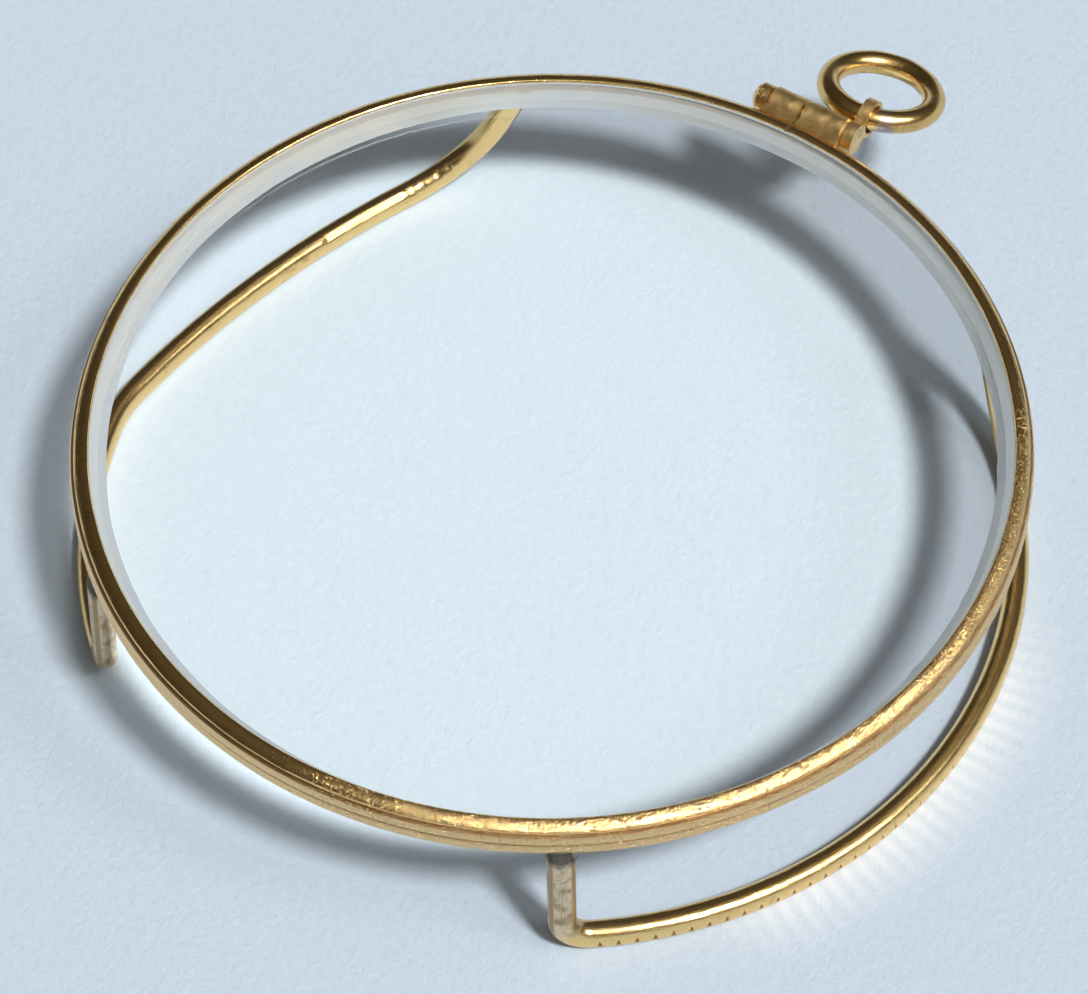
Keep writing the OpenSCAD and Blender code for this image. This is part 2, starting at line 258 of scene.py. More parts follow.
paper, tree, shader = new_material("paper", 0.9)
shader.inputs["Specular IOR Level"].default_value = 0.1
place = position_mm(tree)
fibres = noise(tree, place, 2.6, detail=6.0, roughness=0.7)
sheet = ramp(tree, fibres, [(0.3, PAPER), (0.7, PAPER_PALE)])
# Painted light: pale streaks of glare in the paper's colour, beside the cheek bar.
split = add_node(tree, "ShaderNodeSeparateXYZ", Vector=place).outputs
reach = calculate(tree, "SQRT", calculate(tree, "MULTIPLY_ADD", split["X"], split["X"],
                                          calculate(tree, "MULTIPLY", split["Y"], split["Y"])))
angle = calculate(tree, "ARCTAN2", split["Y"], split["X"])
turns = calculate(tree, "MULTIPLY", angle, 2 * math.pi * GLARE_NEAR[1] / GLARE_PITCH)
streaks = calculate(tree, "SINE", turns)
thrown = calculate(tree, "MULTIPLY_ADD", streaks, 0.25 * GLARE_PART, 0.75 * GLARE_PART)
for mask in (fade(tree, reach, *GLARE_FAR), fade(tree, reach, *GLARE_NEAR), fade(tree, angle, *GLARE_START),
             fade(tree, angle, *GLARE_END)):
    thrown = calculate(tree, "MULTIPLY", thrown, mask)
tree.links.new(blend(tree, "RGBA", thrown, sheet, GLARE), shader.inputs["Base Color"])
raise_bumps(tree, shader, fibres, FIBRE_H)
floor_mesh = bpy.data.meshes.new("floor")
corners = [(-PAPER_HALF, -PAPER_HALF, 0), (PAPER_HALF, -PAPER_HALF, 0), (PAPER_HALF, PAPER_HALF, 0),
           (-PAPER_HALF, PAPER_HALF, 0)]
floor_mesh.from_pydata(corners, [], [(0, 1, 2, 3)])
floor_mesh.materials.append(paper)
floor = bpy.data.objects.new("floor", floor_mesh)
scene.collection.objects.link(floor)

# Rim: gold-filled wire, drawn with a crowned band, a deep groove and two reeds, bent round and slit at the
# joint. Wear pits the band on the lamp's side, the reeds keep the die's lines, and the grooves are coloured
# darker.
GOLD = (0.90, 0.62, 0.26, 1)
GOLD_STAINED = (0.50, 0.28, 0.10, 1)
GROOVE_DARK = (0.24, 0.14, 0.07, 1)
REED_GOLD = (0.84, 0.58, 0.30, 1)
REED_PART = 0.7
WORN_SIDE = math.radians(-115)
PIT_H = 0.05
DIE_LINE_H = 0.014
RIM_STEPS = 360
SLIT_W = 0.14
LIP_R = 19.18
RIM_FOOT = 6.8
REED_H = 0.5
REED_R = 0.45
REED_MIDDLE_R = 19.55
FINE_GROOVE = (19.87, 7.30, 7.35)
DEEP_GROOVE = (19.72, 7.85, 7.95)
BEVEL_GROOVE = [(7.945, 19.18), (7.525, 19.50), (7.105, 19.18)]
CROWN = [(19.80, 7.95), (19.807, 7.98), (19.805, 8.02), (19.79, 8.055), (19.765, 8.085), (19.73, 8.113),
         (19.69, 8.14), (19.65, 8.164), (19.60, 8.19), (19.55, 8.21), (19.49, 8.228), (19.43, 8.241),
         (19.37, 8.248), (19.31, 8.25), (19.26, 8.245), (19.22, 8.23), (19.195, 8.205), (19.18, 8.17)]


def add_piece(name, points, faces, materials, node):
    """A smooth piece in place of a CAD node, from points in millimetres."""
    mesh = bpy.data.meshes.new(name)
    mesh.from_pydata([Vector(point) * MM for point in points], [], faces)
    mesh.polygons.foreach_set("use_smooth", [True] * len(faces))
    for material in materials:
        mesh.materials.append(material)
    piece = bpy.data.objects.new(name, mesh)
    scene.collection.objects.link(piece)
    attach(piece, "monocle")
    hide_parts(node)
    return piece


def reed(foot):
    """Outline of a reed, from its foot upwards."""
    middle = foot + REED_H / 2
    heights = [foot + REED_H * step / 10 for step in range(11)]
    return [(REED_MIDDLE_R + math.sqrt(REED_R ** 2 - (height - middle) ** 2), height) for height in heights]


def new_group(name, inputs, outputs):
    """A shared node group with these named socket kinds: its tree, and its inside sockets by name."""
    group = bpy.data.node_groups.new(name, "ShaderNodeTree")
    for way, sockets in (("INPUT", inputs), ("OUTPUT", outputs)):
        for label, kind in sockets.items():
            group.interface.new_socket(label, in_out=way, socket_type="NodeSocket" + kind)
    return group, group.nodes.new("NodeGroupInput").outputs, group.nodes.new("NodeGroupOutput").inputs


def use_group(tree, group, **inputs):
    """The outputs of a node that runs this shared group."""
    node = tree.nodes.new("ShaderNodeGroup")
    node.node_tree = group
    for name, value in inputs.items():
        put(tree, node.inputs[name], value)
    return node.outputs


worn_metal, given, result = new_group(
    "worn metal",
    {"Place": "Vector", "Clean": "Color", "Stained": "Color", "Stain": "Float", "Pits": "Float",
     "Gloss": "Float"},
    {"Color": "Color", "Roughness": "Float", "Height": "Float"})
cloud = noise(worn_metal, given["Place"], 0.9, detail=6.0, roughness=0.6)
stain = fade(worn_metal, calculate(worn_metal, "ADD", cloud, given["Stain"]), 0.9, 1.15)
speck = noise(worn_metal, given["Place"], 7.5, detail=3.0, roughness=0.65)
pit = calculate(worn_metal, "MULTIPLY", fade(worn_metal, speck, 0.54, 0.66), given["Pits"])
metal_colour = blend(worn_metal, "RGBA", stain, given["Clean"], given["Stained"])
put(worn_metal, result["Color"], blend(worn_metal, "RGBA", pit, metal_colour, given["Stained"]))
dulled = calculate(worn_metal, "MULTIPLY_ADD", stain, 0.12, given["Gloss"])
put(worn_metal, result["Roughness"], calculate(worn_metal, "MULTIPLY_ADD", pit, 0.2, dulled))
fine = noise(worn_metal, given["Place"], 9.0, detail=3.0, roughness=0.7)
grain = calculate(worn_metal, "MULTIPLY", fine, 0.8)
put(worn_metal, result["Height"], calculate(worn_metal, "SUBTRACT", grain, pit))

drawn_lines, given, result = new_group("drawn lines", {"Place": "Vector"}, {"Height": "Float"})
split = add_node(drawn_lines, "ShaderNodeSeparateXYZ", Vector=given["Place"]).outputs
flat = add_node(drawn_lines, "ShaderNodeCombineXYZ", X=split["X"], Y=split["Y"]).outputs["Vector"]
reach = drawn_lines.nodes.new("ShaderNodeVectorMath")
reach.operation = "LENGTH"
put(drawn_lines, reach.inputs[0], flat)
radius = reach.outputs["Value"]
turned = add_node(drawn_lines, "ShaderNodeCombineXYZ",
                  X=calculate(drawn_lines, "DIVIDE", split["X"], radius),
                  Y=calculate(drawn_lines, "DIVIDE", split["Y"], radius),
                  Z=radius).outputs["Vector"]
stretch = drawn_lines.nodes.new("ShaderNodeVectorMath")
stretch.operation = "MULTIPLY"
put(drawn_lines, stretch.inputs[0], turned)
stretch.inputs[1].default_value = (12, 12, 14)
lines = drawn_lines.nodes.new("ShaderNodeTexNoise")
lines.noise_dimensions = "4D"
put(drawn_lines, lines.inputs["Vector"], stretch.outputs["Vector"])
put(drawn_lines, lines.inputs["W"], calculate(drawn_lines, "MULTIPLY", split["Z"], 14.0))
lines.inputs["Scale"].default_value = 1.0
lines.inputs["Detail"].default_value = 2.0
put(drawn_lines, result["Height"], lines.outputs["Fac"])


def worn_material(name, clean, stained, stain, pits, gloss, pit_depth):
    """A worn metal: its material, tree, shader, and the place that its wear follows."""
    material, tree, shader = new_material(name, gloss, metallic=1.0)
    spot = position_mm(tree)
    wear = use_group(tree, worn_metal, Place=spot, Clean=clean, Stained=stained, Stain=stain, Pits=pits,
                     Gloss=gloss)
    put(tree, shader.inputs["Base Color"], wear["Color"])
    put(tree, shader.inputs["Roughness"], wear["Roughness"])
    raise_bumps(tree, shader, wear["Height"], pit_depth)
    return material, tree, shader, spot


def lay_over(tree, shader, mask, colour, roughness):
    """Cover the shader's colour and roughness with these where mask is 1."""
    for name, kind, value in (("Base Color", "RGBA", colour), ("Roughness", "FLOAT", roughness)):
        socket = shader.inputs[name]
        put(tree, socket, blend(tree, kind, mask, socket.links[0].from_socket, value))


def between(tree, value, low, high, soft):
    """1 between low and high, with soft borders outside them."""
    return calculate(tree, "MULTIPLY", fade(tree, value, low - soft, low),
                     fade(tree, value, high + soft, high))


def bump_again(tree, shader, height, depth_mm):
    """Lay a second relief on the one that the shader has."""
    first = shader.inputs["Normal"].links[0].from_node
    node = add_node(tree, "ShaderNodeBump", Height=height, Distance=depth_mm * MM,
                    Normal=first.outputs["Normal"])
    put(tree, shader.inputs["Normal"], node.outputs["Normal"])


gold, tree, shader, place = worn_material("rim_gold", GOLD, GOLD_STAINED, 0.36, 0.6, 0.14, PIT_H)
height = add_node(tree, "ShaderNodeSeparateXYZ", Vector=place).outputs["Z"]
grooves = calculate(tree, "MAXIMUM", between(tree, height, *DEEP_GROOVE[1:], 0.01),
                    between(tree, height, *FINE_GROOVE[1:], 0.01))
# The grooves get a darker, rougher colour.
lay_over(tree, shader, calculate(tree, "MULTIPLY", grooves, 0.8), GROOVE_DARK, 0.5)
reeds = calculate(tree, "MULTIPLY", fade(tree, height, DEEP_GROOVE[2], DEEP_GROOVE[1]), REED_PART)
lay_over(tree, shader, reeds, REED_GOLD, 0.3)
die_lines = use_group(tree, drawn_lines, Place=place)["Height"]
pits = shader.inputs["Normal"].links[0].from_node
split = add_node(tree, "ShaderNodeSeparateXYZ", Vector=place).outputs
front = calculate(tree, "MULTIPLY_ADD", split["X"], math.cos(WORN_SIDE) / REED_MIDDLE_R,
                  calculate(tree, "MULTIPLY", split["Y"], math.sin(WORN_SIDE) / REED_MIDDLE_R))
pitted = fade(tree, front, 0.35, 0.8)
put(tree, pits.inputs["Strength"], calculate(tree, "MULTIPLY_ADD", pitted, 0.85, 0.15))
bump_again(tree, shader, die_lines, DIE_LINE_H)

outline = [(LIP_R, RIM_FOOT)] + reed(RIM_FOOT)
outline += [(FINE_GROOVE[0], FINE_GROOVE[1]), (FINE_GROOVE[0], FINE_GROOVE[2])] + reed(FINE_GROOVE[2])
outline += [(DEEP_GROOVE[0], DEEP_GROOVE[1]), (DEEP_GROOVE[0], DEEP_GROOVE[2])] + CROWN
outline += [(radius, level) for level, radius in BEVEL_GROOVE]
slit = math.asin(SLIT_W / 2 / REED_MIDDLE_R)
points = []
for step in range(RIM_STEPS + 1):
    angle = slit + step * (2 * math.pi - 2 * slit) / RIM_STEPS
    points += [(radius * math.cos(angle), radius * math.sin(angle), level) for radius, level in outline]
count = len(outline)
faces = []
for step in range(RIM_STEPS):
    for spot in range(count):
        over = (spot + 1) % count
        faces.append((step * count + spot, (step + 1) * count + spot, (step + 1) * count + over,
                      step * count + over))
faces += [tuple(range(count)), tuple(range(RIM_STEPS * count, (RIM_STEPS + 1) * count))[::-1]]
rim = add_piece("rim_wire", points, faces, [gold], "rim")
rim.data.set_sharp_from_angle(angle=math.radians(50))

# Lens: a turned glass disc with two gently curved clear faces. Its edge is ground: a bevel that sits in
# the rim's groove and, on the eye side, two facets that show as a pale matt band with a few small chips.
LENS_STEPS = 288
CLEAR_R = 19.16
TOP_Z = 8.762
FACE_R = 300.0
THICKNESS = 1.9
EDGE = [(19.16, 7.925), (19.48, 7.525), (19.16, 7.125), (18.82, 6.625), (18.48, 6.292)]
CHIPS = [(-63, 0.9, 0.10), (-78, 0.6, 0.07), (-84, 0.5, 0.06), (-96, 0.7, 0.09), (-104, 0.5, 0.05),
         (12, 0.7, 0.06), (148, 0.8, 0.07)]
GROUND = (0.50, 0.50, 0.47, 1)
GROUND_PAINTED_PAPER_BLUE = (0.44, 0.49, 0.53, 1)
GROUND_WARM = (0.60, 0.54, 0.42, 1)
GATHERED_R = (17.8, 18.4)
GATHERED_LIGHT = (1.85, 1.85, 1.75, 1)
EDGE_LIGHT = (0.08, 0.08, 0.09, 1)


def face_drop(radius):
    """Fall of the lens's curved faces at this distance from the axis."""
    return FACE_R - math.sqrt(FACE_R ** 2 - radius ** 2)


def chip_depth(angle):
    """How far the facets' inner edge is chipped away at this angle, in degrees."""
    depth = 0.012 * math.sin(math.radians(angle * 7)) + 0.008 * math.sin(math.radians(angle * 23 + 40))
    for middle, width, deep in CHIPS:
        depth += deep * max(0.0, 1 - abs((angle - middle + 180) % 360 - 180) / width)
    return depth


dome = [CLEAR_R * step / 10 for step in range(1, 11)]
rings = [(radius, TOP_Z - face_drop(radius)) for radius in dome] + EDGE
edge_start = len(dome) - 1
edge_end = len(rings) - 1
rings += [(radius, TOP_Z - THICKNESS - face_drop(radius)) for radius in dome[-2::-1]]
points = []
for count, (radius, level) in enumerate(rings):
    for step in range(LENS_STEPS):
        angle = step * 360 / LENS_STEPS
        away = radius - (chip_depth(angle) if count == edge_end else 0)
        points.append((away * math.cos(math.radians(angle)), away * math.sin(math.radians(angle)), level))
faces = []
for ring in range(len(rings) - 1):
    for step in range(LENS_STEPS):
        right = (step + 1) % LENS_STEPS
        faces.append((ring * LENS_STEPS + step, (ring + 1) * LENS_STEPS + step,
                      (ring + 1) * LENS_STEPS + right, ring * LENS_STEPS + right))
for pole, ring, turn in ((TOP_Z, 0, 1), (TOP_Z - THICKNESS, len(rings) - 1, -1)):
    points.append((0, 0, pole))
    for step in range(LENS_STEPS):
        pair = (ring * LENS_STEPS + step, ring * LENS_STEPS + (step + 1) % LENS_STEPS)[::turn]
        faces.append((len(points) - 1, *pair))

glass, tree, shader = new_material("clear_glass", 0.0)
shader.inputs["Transmission Weight"].default_value = 1.0
shader.inputs["IOR"].default_value = 1.52
# Light on its way to the paper and reflections of other pieces pass straight through. Under the lens the
# light is brighter in the middle, where a real lens gathers it, and missing at the edge.
rays = tree.nodes.new("ShaderNodeLightPath").outputs
lit = calculate(tree, "MAXIMUM", rays["Is Shadow Ray"], rays["Is Reflection Ray"])
across = tree.nodes.new("ShaderNodeVectorMath")
across.operation = "MULTIPLY"
put(tree, across.inputs[0], position_mm(tree))
across.inputs[1].default_value = (1, 1, 0)
reach = tree.nodes.new("ShaderNodeVectorMath")
reach.operation = "LENGTH"
put(tree, reach.inputs[0], across.outputs["Vector"])
gathered = blend(tree, "RGBA", fade(tree, reach.outputs["Value"], *GATHERED_R), GATHERED_LIGHT, EDGE_LIGHT)
height = add_node(tree, "ShaderNodeSeparateXYZ", Vector=position_mm(tree)).outputs["Z"]
under = calculate(tree, "MULTIPLY", rays["Is Shadow Ray"], calculate(tree, "LESS_THAN", height, EDGE[1][1]))
passed = blend(tree, "RGBA", under, (1, 1, 1, 1), gathered)
clear = add_node(tree, "ShaderNodeBsdfTransparent", Color=passed)
mix = add_node(tree, "ShaderNodeMixShader", Fac=lit)
tree.links.new(shader.outputs["BSDF"], mix.inputs[1])
tree.links.new(clear.outputs["BSDF"], mix.inputs[2])
tree.links.new(mix.outputs["Shader"], tree.nodes["Material Output"].inputs["Surface"])

ground, tree, shader = new_material("ground_glass", 0.5)
shader.inputs["Transmission Weight"].default_value = 0.5
shader.inputs["IOR"].default_value = 1.52
place = position_mm(tree)
grinding = use_group(tree, drawn_lines, Place=place)["Height"]
height = add_node(tree, "ShaderNodeSeparateXYZ", Vector=place).outputs["Z"]
# Painted reflection: the lower facet is tinted with the blue of the paper below it.
pale = blend(tree, "RGBA", fade(tree, height, 6.35, 6.75), GROUND_PAINTED_PAPER_BLUE, GROUND)
uneven = fade(tree, noise(tree, place, 0.5, detail=3.0), 0.3, 0.8)
put(tree, shader.inputs["Base Color"], blend(tree, "RGBA", calculate(tree, "MULTIPLY", uneven, 0.4), pale,
                                             GROUND_WARM))
raise_bumps(tree, shader, grinding, 0.01)

lens = add_piece("lens_glass", points, faces, [glass, ground], "lens")
for face in range(edge_start * LENS_STEPS, edge_end * LENS_STEPS):
    lens.data.polygons[face].material_index = 1
for edge in lens.data.edges:
    circle, other = edge.vertices[0] // LENS_STEPS, edge.vertices[1] // LENS_STEPS
    if circle == other and edge_start <= circle <= edge_end:
        edge.use_edge_sharp = True

# Galleries: each is one gold-filled wire of rounded square section, bent by hand over formers, with a row
# of notches milled in its lower outer edge. Fine scratches run along it, and the notches are painted brown
# as shade.
GALLERY_DEPTH = 6.8
BAR_Z = 0.545
WIRE_W = 1.0
WIRE_H = 1.15
SEAT_R = 19.59
FLARE = 0.3
LEG_BEND_R = 1.2
RISE_BEND_R = 4.6
NOTCH_PITCH = 0.74
NOTCH_W = 0.3
NOTCH_D = 0.1
NOTCH_FOOT = 0.2
NOTCH_TOP = 0.62
NOTCH_SHADE = (0.34, 0.19, 0.07, 1)
FILED_H = 0.5
FILED_PART = 0.36
SCRATCH_H = 0.012
LEG_TAN = (0.72, 0.60, 0.46, 1)
LEG_BROWN_AND_SHADE = (0.22, 0.14, 0.09, 1)
SOLDER_DARK = (0.075, 0.07, 0.07, 1)
STEP = 0.06
SECTION_STEPS = 44
SECTION_POWER = 2.5
bar_r = SEAT_R + FLARE
climb = GALLERY_DEPTH - BAR_Z
lean = math.atan(FLARE / climb)


def steps_over(length):
    """Even fractions from 0 to 1 with at most STEP between them over this length."""
    count = max(2, math.ceil(length / STEP))
    return [step / count for step in range(count + 1)]


def bar_stretch(centre, radius, start, end):
    """Frames (place, side, up) along a flat arc between two angles, in degrees."""
    stretch = []
    for part in steps_over(radius * math.radians(abs(end - start))):
        angle = math.radians(start + part * (end - start))
        outwards = Vector((math.cos(angle), math.sin(angle), 0))
        side = outwards * math.cos(lean) + Vector((0, 0, math.sin(lean)))
        up = Vector((0, 0, math.cos(lean))) - outwards * math.sin(lean)
        stretch.append((Vector((*centre, BAR_Z)) + radius * outwards, side, up))
    return stretch


def turned_up(foot, outwards, forwards, radius, turn, roll):
    """Frames of the wire bent up from a bar's end by turn degrees and on to the rim, leaning in by roll."""
    side_axis = outwards * math.cos(roll) + Vector((0, 0, math.sin(roll)))
    up_axis = Vector((0, 0, math.cos(roll))) - outwards * math.sin(roll)
    tilt = lean - roll
    last = math.radians(turn)
    straight = (climb / math.cos(roll) - radius * (1 - math.cos(last))) / math.sin(last)
    stretch = []
    for part in steps_over(radius * last):
        bent = part * last
        place = foot + forwards * radius * math.sin(bent) + up_axis * radius * (1 - math.cos(bent))
        stretch.append((place, bent))
    along = forwards * math.cos(last) + up_axis * math.sin(last)
    stretch += [(stretch[-1][0] + along * straight * part, last) for part in steps_over(straight)[1:]]
    frames = []
    for place, bent in stretch:
        normal = up_axis * math.cos(bent) - forwards * math.sin(bent)
        frames.append((place, side_axis * math.cos(tilt) + normal * math.sin(tilt),
                       normal * math.cos(tilt) - side_axis * math.sin(tilt)))
    return frames, along


def bar_end(centre, radius, angle, way):
    """Foot, outward and forward directions where a bar ends at an angle, going way (1 or -1) round."""
    angle = math.radians(angle)
    outwards = Vector((math.cos(angle), math.sin(angle), 0))
    forwards = Vector((-outwards.y, outwards.x, 0)) * way
    return Vector((*centre, BAR_Z)) + radius * outwards, outwards, forwards


def section_point(step):
    """Point of the wire's rounded section, out and up from its middle."""
    angle = step * 2 * math.pi / SECTION_STEPS
    across, over = math.cos(angle), math.sin(angle)
    return (WIRE_W / 2 * math.copysign(abs(across) ** (2 / SECTION_POWER), across),
            WIRE_H / 2 * math.copysign(abs(over) ** (2 / SECTION_POWER), over))


def smooth(value, start, end):
    """0 before start and 1 past end, smooth between."""
    part = min(1.0, max(0.0, (value - start) / (end - start)))
    return part * part * (3 - 2 * part)


def rubbed_side(angle):
    """Out and up parts of the direction at an angle round the wire, and the section's reach along it."""
    across, above = math.cos(math.radians(angle)), math.sin(math.radians(angle))
    section = [section_point(step) for step in range(SECTION_STEPS)]
    return across, above, max(out * across + over * above for out, over in section)


def gallery(name, node, leg, bars, rise, mirrored, material, dents=(), flats=()):
    """A gallery wire from its leg over its bars to its rise; leg and rise are (frames, direction).

    Each end is filed to pass under the rim. A dent is (length to its middle, angle round the wire, half
    length, depth as a part of the wire), a rubbed flat (length to its start, to its end, angle, depth)."""
    frames = leg[0][::-1]
    notched_from = len(frames)
    for bar in bars:
        frames += bar[1:]
    notched_to = len(frames)
    frames += rise[0][1:]
    length = [0.0]
    for before, here in zip(frames, frames[1:]):
        length.append(length[-1] + (here[0] - before[0]).length)
    first, last = length[notched_from] + 0.2, length[notched_to - 1] - 0.2
    count = round((last - first) / NOTCH_PITCH)
    pitch = (last - first) / count
    rubbed = [(start, end, deep, *rubbed_side(angle)) for start, end, angle, deep in flats]
    points, depths, lengths, turns = [], [], [], []
    for number, (place, side, up) in enumerate(frames):
        here = length[number]
        nearest = first + pitch * min(count, max(0, round((here - first) / pitch)))
        for step in range(SECTION_STEPS):
            out, over = section_point(step)
            rise_part = (over + BAR_Z - NOTCH_FOOT) / (NOTCH_TOP - NOTCH_FOOT)
            wide = NOTCH_W / 2 * min(1.0, max(0.05, 1.15 - rise_part))
            low = (smooth(rise_part, -0.2, 0.1) * smooth(rise_part, 1.1, 0.8) * smooth(out, 0.1, 0.35)
                   * max(0.0, 1 - (abs(here - nearest) / wide) ** 2))
            dip = 0.0
            for middle, angle, width, deep in dents:
                apart = abs((step * 360 / SECTION_STEPS - angle + 180) % 360 - 180) / 40
                dip += deep * max(0.0, 1 - (abs(here - middle) / width) ** 2) * max(0.0, 1 - apart)
            for start, end, deep, across, above, full in rubbed:
                cut = deep * smooth(here, start, start + 0.5) * smooth(here, end, end - 0.5)
                proud = max(0.0, out * across + over * above - full + cut)
                out, over = out - proud * across, over - proud * above
            point = place + side * (out - NOTCH_D * low) * (1 - dip) + up * over * (1 - dip)
            if number in (0, len(frames) - 1):
                way = (leg if number == 0 else rise)[1]
                point += way * (GALLERY_DEPTH - point.z) / way.z
            point.z = min(GALLERY_DEPTH, max(0.0, point.z))
            filed = FILED_PART * smooth(point.z, GALLERY_DEPTH - FILED_H, GALLERY_DEPTH)
            point -= side * max(0.0, out) * filed
            points.append((point.x, -point.y if mirrored else point.y, point.z))
            depths.append(low)
            lengths.append(here)
            turns.append(abs(step * 2 / SECTION_STEPS - 1))
    faces = []
    for ring in range(len(frames) - 1):
        for step in range(SECTION_STEPS):
            right = (step + 1) % SECTION_STEPS
            quad = (ring * SECTION_STEPS + step, ring * SECTION_STEPS + right,
                    (ring + 1) * SECTION_STEPS + right, (ring + 1) * SECTION_STEPS + step)
            faces.append(quad[::-1] if mirrored else quad)
    ends = (tuple(range(SECTION_STEPS))[::-1], tuple(range(len(points) - SECTION_STEPS, len(points))))
    faces += [end[::-1] if mirrored else end for end in ends]
    piece = add_piece(name, points, faces, [material], node)
    for label, values in (("notch", depths), ("length", lengths), ("turn", turns)):
        piece.data.attributes.new(label, "FLOAT", "POINT").data.foreach_set("value", values)
    return piece


def gallery_gold(name, solder_azimuth):
    """Gold of a gallery: scratched along the wire, with painted brown shade in its notches, and tan with
    brown patches and painted brown shade along its corners on its leg, whose top is dark with solder."""
    material, tree, shader, place = worn_material(name, GOLD, GOLD_STAINED, 0.32, 0.12, 0.16, 0.006)
    marks = {}
    for label in ("notch", "length", "turn"):
        node = tree.nodes.new("ShaderNodeAttribute")
        node.attribute_name = label
        marks[label] = node.outputs["Fac"]
    # Painted shade: the notches are coloured dark brown where they lie in shade.
    lay_over(tree, shader, fade(tree, marks["notch"], 0.25, 0.8), NOTCH_SHADE, 0.6)
    run = add_node(tree, "ShaderNodeCombineXYZ", X=calculate(tree, "MULTIPLY", marks["length"], 0.9),
                   Y=calculate(tree, "MULTIPLY", marks["turn"], 26.0)).outputs["Vector"]
    scratches = noise(tree, run, 1.0, detail=3.0, roughness=0.6)
    bump_again(tree, shader, scratches, SCRATCH_H)
    split = add_node(tree, "ShaderNodeSeparateXYZ", Vector=place).outputs
    angle = calculate(tree, "ARCTAN2", split["Y"], split["X"])
    near = calculate(tree, "ABSOLUTE", calculate(tree, "SUBTRACT", angle, math.radians(solder_azimuth)))
    ragged = calculate(tree, "MULTIPLY_ADD", noise(tree, place, 3.0, detail=3.0), 0.8, split["Z"])
    at_leg = fade(tree, near, 0.12, 0.1)
    tan = calculate(tree, "MULTIPLY", at_leg, fade(tree, split["Z"], 0.8, 1.6))
    patches = calculate(tree, "MULTIPLY_ADD", noise(tree, place, 1.4, detail=5.0, roughness=0.7), 0.7,
                        calculate(tree, "MULTIPLY", noise(tree, run, 1.6, detail=4.0, roughness=0.7), 0.3))
    # Painted shade: the leg's corners, where the wire turns away, are coloured brown along with the random
    # patches.
    corners = between(tree, marks["turn"], 0.66, 0.78, 0.06)
    mottle_and_edge_shade = calculate(tree, "MAXIMUM", fade(tree, patches, 0.42, 0.62), corners)
    lay_over(tree, shader, calculate(tree, "MULTIPLY", tan, 0.75),
             blend(tree, "RGBA", mottle_and_edge_shade, LEG_TAN, LEG_BROWN_AND_SHADE), 0.4)
    smear = calculate(tree, "MULTIPLY", at_leg, fade(tree, ragged, 6.25, 6.85))
    lay_over(tree, shader, calculate(tree, "MULTIPLY", smear, 0.9), SOLDER_DARK, 0.6)
    return material


BROW_LEG = 139
FLAT_PRESS = 1.3
FLAT_R = 46
FLAT_AZIMUTH = 76.5
LEG_SIDE_BEND_R = 6
BROW_ROLL = math.radians(19)
BROW_SLOPE = 76
BROW_FLATS = [(31.4, 36.4, 126, 0.045)]
BROW_DENTS = [(36.5, 124, 0.3, 0.08), (37.2, 132, 0.22, 0.06), (38.2, 118, 0.25, 0.07),
              (38.9, 128, 0.2, 0.05)]
flat_back = FLAT_R - (bar_r - FLAT_PRESS)
bend_reach = bar_r - LEG_SIDE_BEND_R
bend_x = ((FLAT_R - LEG_SIDE_BEND_R) ** 2 - bend_reach ** 2 - flat_back ** 2) / (2 * flat_back)
bend_y = math.sqrt(bend_reach ** 2 - bend_x ** 2)
bend_start = FLAT_AZIMUTH + math.degrees(math.atan2(bend_y, bend_x))
bend_end = FLAT_AZIMUTH + math.degrees(math.asin(bend_y / (FLAT_R - LEG_SIDE_BEND_R)))
slope = math.radians(BROW_SLOPE)
rise_run = (RISE_BEND_R * math.sin(slope)
            + (climb / math.cos(BROW_ROLL) - RISE_BEND_R * (1 - math.cos(slope))) / math.tan(slope))
rise_in = climb * math.tan(BROW_ROLL)
land_r = math.hypot(FLAT_R - rise_in, rise_run)
flat_end = FLAT_AZIMUTH - math.degrees(
    math.acos((land_r ** 2 + flat_back ** 2 - SEAT_R ** 2) / (2 * land_r * flat_back))
    - math.atan(rise_run / (FLAT_R - rise_in)))
flat_turn = math.radians(FLAT_AZIMUTH)
flat_centre = (-flat_back * math.cos(flat_turn), -flat_back * math.sin(flat_turn))
bend_turn = math.radians(bend_start)
bend_middle = (bend_reach * math.cos(bend_turn), bend_reach * math.sin(bend_turn))
brow_gold = gallery_gold("brow_gold", BROW_LEG)
gallery("brow_wire", "brow_gallery",
        turned_up(*bar_end((0, 0), bar_r, BROW_LEG, 1), LEG_BEND_R, 90, lean),
        [bar_stretch((0, 0), bar_r, BROW_LEG, bend_start),
         bar_stretch(bend_middle, LEG_SIDE_BEND_R, bend_start, bend_end),
         bar_stretch(flat_centre, FLAT_R, bend_end, flat_end)],
        turned_up(*bar_end(flat_centre, FLAT_R, flat_end, -1), RISE_BEND_R, BROW_SLOPE, BROW_ROLL),
        False, brow_gold, BROW_DENTS, BROW_FLATS)

CHEEK_LEG = 143
CHEEK_RISE = 53
CHEEK_SLOPE = 68
slope = math.radians(CHEEK_SLOPE)
cheek_run = RISE_BEND_R * math.sin(slope) + (climb - RISE_BEND_R * (1 - math.cos(slope))) / math.tan(slope)
cheek_roll = math.atan((bar_r - math.sqrt(SEAT_R ** 2 - cheek_run ** 2)) / climb)
cheek_gold = gallery_gold("cheek_gold", -CHEEK_LEG)
gallery("cheek_wire", "cheek_gallery",
        turned_up(*bar_end((0, 0), bar_r, CHEEK_LEG, 1), LEG_BEND_R, 90, lean),
        [bar_stretch((0, 0), bar_r, CHEEK_LEG, CHEEK_RISE)],
        turned_up(*bar_end((0, 0), bar_r, CHEEK_RISE, -1), RISE_BEND_R, CHEEK_SLOPE, cheek_roll),
        True, cheek_gold)

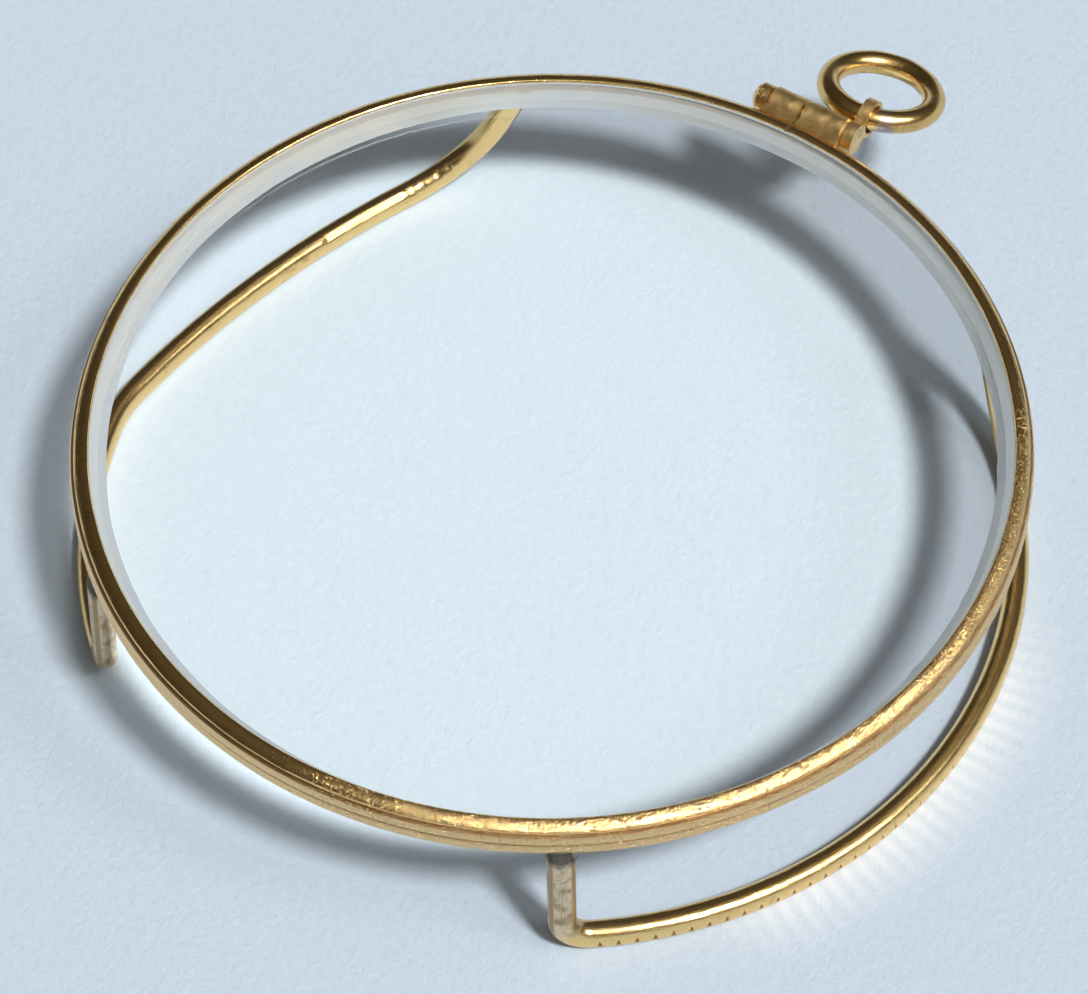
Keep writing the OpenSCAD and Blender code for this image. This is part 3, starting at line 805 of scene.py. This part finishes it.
# Gallery solder: soft grey solder run into the corner between the rim's underside and each leg. It draws
# itself into a hollow fillet as it sets, and dulls to dark grey.
SOLDER = (0.19, 0.185, 0.18, 1)
FILLET_DROP = 0.85
FILLET_RUN = 0.7
FILLET_EDGE = 0.03
FILLET_W = 0.7
FILLET_STEPS = 12
IN_LEG = 0.12
solder, tree, shader, place = worn_material("soft_solder", SOLDER, SOLDER_DARK, 0.5, 0.6, 0.5, 0.02)
shader.inputs["Metallic"].default_value = 0.3


def solder_fillet(name, node, azimuth, way):
    """Hollow fillet on the side of a leg that stands at this azimuth; way is the side's turn, 1 or -1."""
    side = LEG_BEND_R - WIRE_H / 2 + 0.02
    curve = [(side + IN_LEG, 0.0), (side + IN_LEG, -FILLET_DROP)]
    for step in range(FILLET_STEPS + 1):
        turn = step / FILLET_STEPS * math.pi / 2
        curve.append((side - FILLET_RUN * (1 - math.cos(turn)),
                      -FILLET_EDGE - (FILLET_DROP - FILLET_EDGE) * (1 - math.sin(turn))))
    curve.append((side - FILLET_RUN, 0.0))
    points = []
    for over in (-0.5, -0.42, 0.42, 0.5):
        inset = 0.06 if abs(over) == 0.5 else 0.0
        for along, drop in curve:
            angle = math.radians(azimuth) + way * (along + inset * 0.5) / SEAT_R
            radius = SEAT_R + over * FILLET_W
            level = GALLERY_DEPTH + drop * (1 - inset)
            points.append((radius * math.cos(angle), radius * math.sin(angle), level))
    count = len(curve)
    faces = []
    for strip in range(3):
        for spot in range(count):
            after = (spot + 1) % count
            quad = (strip * count + spot, strip * count + after, (strip + 1) * count + after,
                    (strip + 1) * count + spot)
            faces.append(quad[::-way])
    faces += [tuple(range(count))[::way], tuple(range(3 * count, 4 * count))[::-way]]
    piece = add_piece(name, points, faces, [solder], node)
    piece.data.set_sharp_from_angle(angle=math.radians(50))


solder_fillet("brow_fillet", "brow_solder", BROW_LEG, 1)
solder_fillet("cheek_fillet", "cheek_solder", -CHEEK_LEG, -1)

# Joint: two brass-brown tubes hard-soldered to the rim's ends, lumpy and dull with old heat, and the
# screw that draws them together and holds the eye plate, its domed head slotted and rubbed bright.
BRASS = (0.80, 0.56, 0.23, 1)
BRASS_BROWN = (0.34, 0.17, 0.07, 1)
LUMP_H = 0.09
old_brass, tree, shader, place = worn_material("old_brass", BRASS, BRASS_BROWN, 0.42, 0.15, 0.42, 0.006)
bump_again(tree, shader, noise(tree, place, 1.3, detail=1.0), LUMP_H)
for name in ("head_tube", "thread_tube", "head_solder", "thread_solder", "ring_eye"):
    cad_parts[name].data.materials[0] = old_brass
screw_gold = worn_material("screw_gold", GOLD, BRASS_BROWN, 0.42, 0.5, 0.28, 0.015)[0]
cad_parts["closing_screw"].data.materials[0] = screw_gold

# Cord ring: a ring of round gold wire, closed with hard solder where it passes the eye. The swing of
# years has polished it, and its solder shows as a grey-purple patch.
RING_GOLD = (0.80, 0.53, 0.20, 1)
RING_SOLDER = (0.42, 0.38, 0.42, 1)
RING_JOIN = Vector((22.5, -3.1, 7.4))
ring_gold, tree, shader, place = worn_material("ring_gold", RING_GOLD, GOLD_STAINED, 0.40, 0.2, 0.19, 0.006)
apart = tree.nodes.new("ShaderNodeVectorMath")
apart.operation = "DISTANCE"
put(tree, apart.inputs[0], place)
apart.inputs[1].default_value = RING_JOIN
blur = calculate(tree, "MULTIPLY_ADD", noise(tree, place, 2.0, detail=3.0), 0.8, apart.outputs["Value"])
lay_over(tree, shader, calculate(tree, "MULTIPLY", fade(tree, blur, 1.25, 0.95), 0.8), RING_SOLDER, 0.35)
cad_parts["cord_ring"].data.materials[0] = ring_gold
